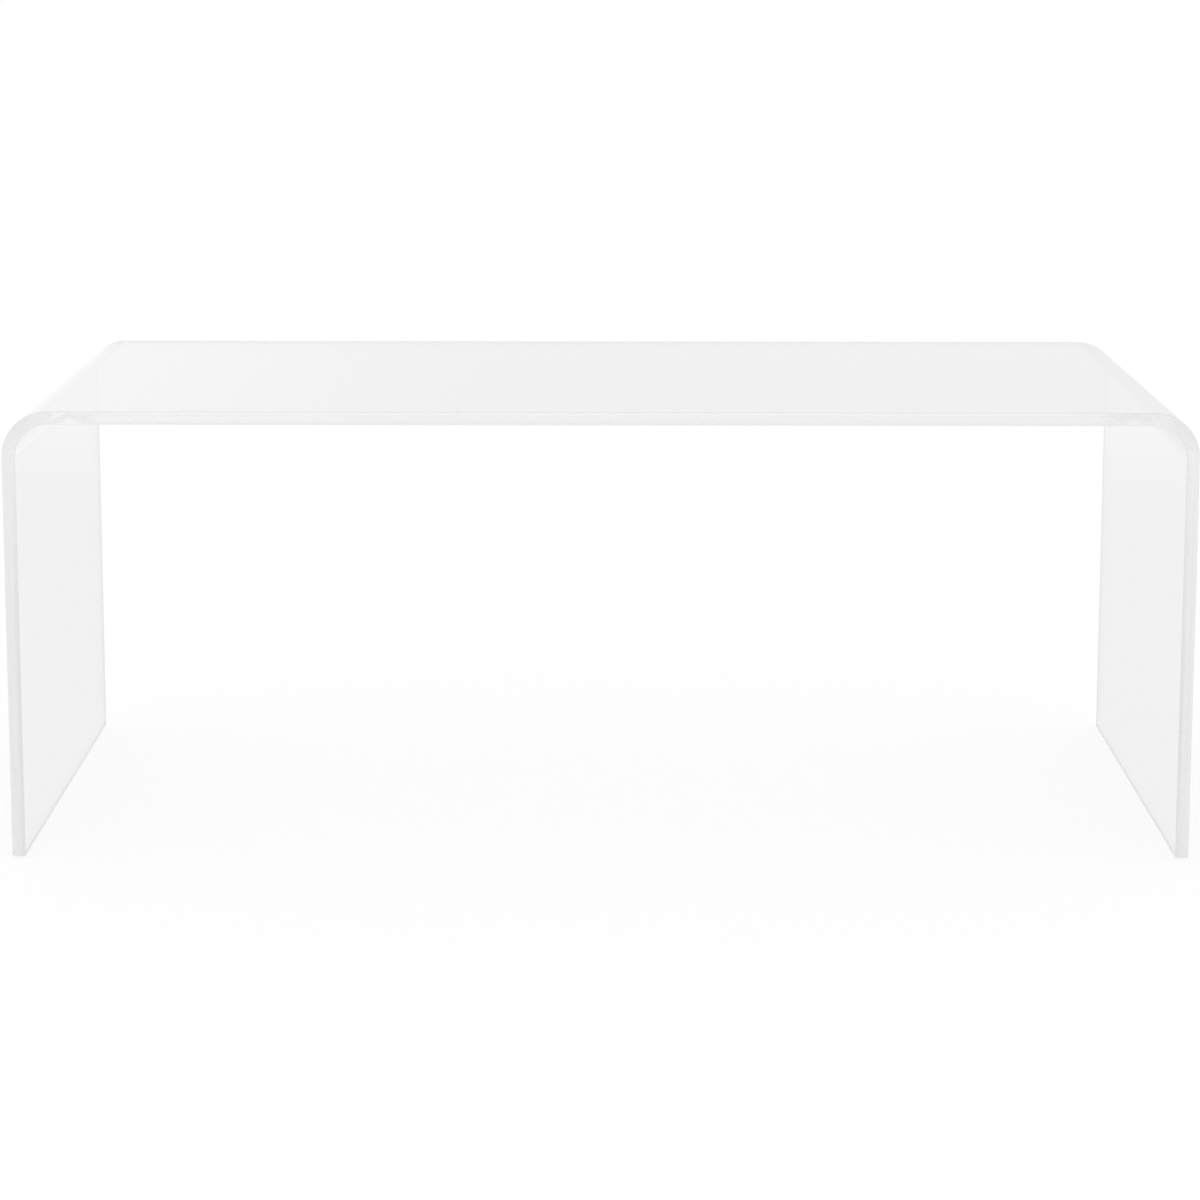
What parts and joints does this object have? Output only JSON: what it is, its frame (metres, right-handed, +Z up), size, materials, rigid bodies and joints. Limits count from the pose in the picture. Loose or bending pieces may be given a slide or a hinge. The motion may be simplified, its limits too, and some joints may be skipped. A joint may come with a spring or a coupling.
{
  "type": "waterfall coffee table",
  "caption": "Low waterfall coffee table in clear acrylic: a flat top that rolls down at both ends into slab legs, standing on small clear bumpers.",
  "frame": {"origin": "on the floor, under the middle of the table", "axes": "+X along the table's length, from the left leg to the right leg; -Y towards the front long edge; +Z up"},
  "size_m": [1.143, 0.6, 0.438],
  "materials": {
    "clear_acrylic": "clear cast acrylic, glossy faces and polished edges",
    "clear_polyurethane": "clear moulded polyurethane, soft gloss",
    "clear_adhesive": "clear pressure-sensitive adhesive, slightly milky"
  },
  "bodies": {
    "root": {"bent_sheet": "clear_acrylic", "bumper_left_front": "clear_polyurethane", "bumper_left_back": "clear_polyurethane", "bumper_right_front": "clear_polyurethane", "bumper_right_back": "clear_polyurethane", "adhesive_left_front": "clear_adhesive", "adhesive_left_back": "clear_adhesive", "adhesive_right_front": "clear_adhesive", "adhesive_right_back": "clear_adhesive"}
  },
  "joints": []
}
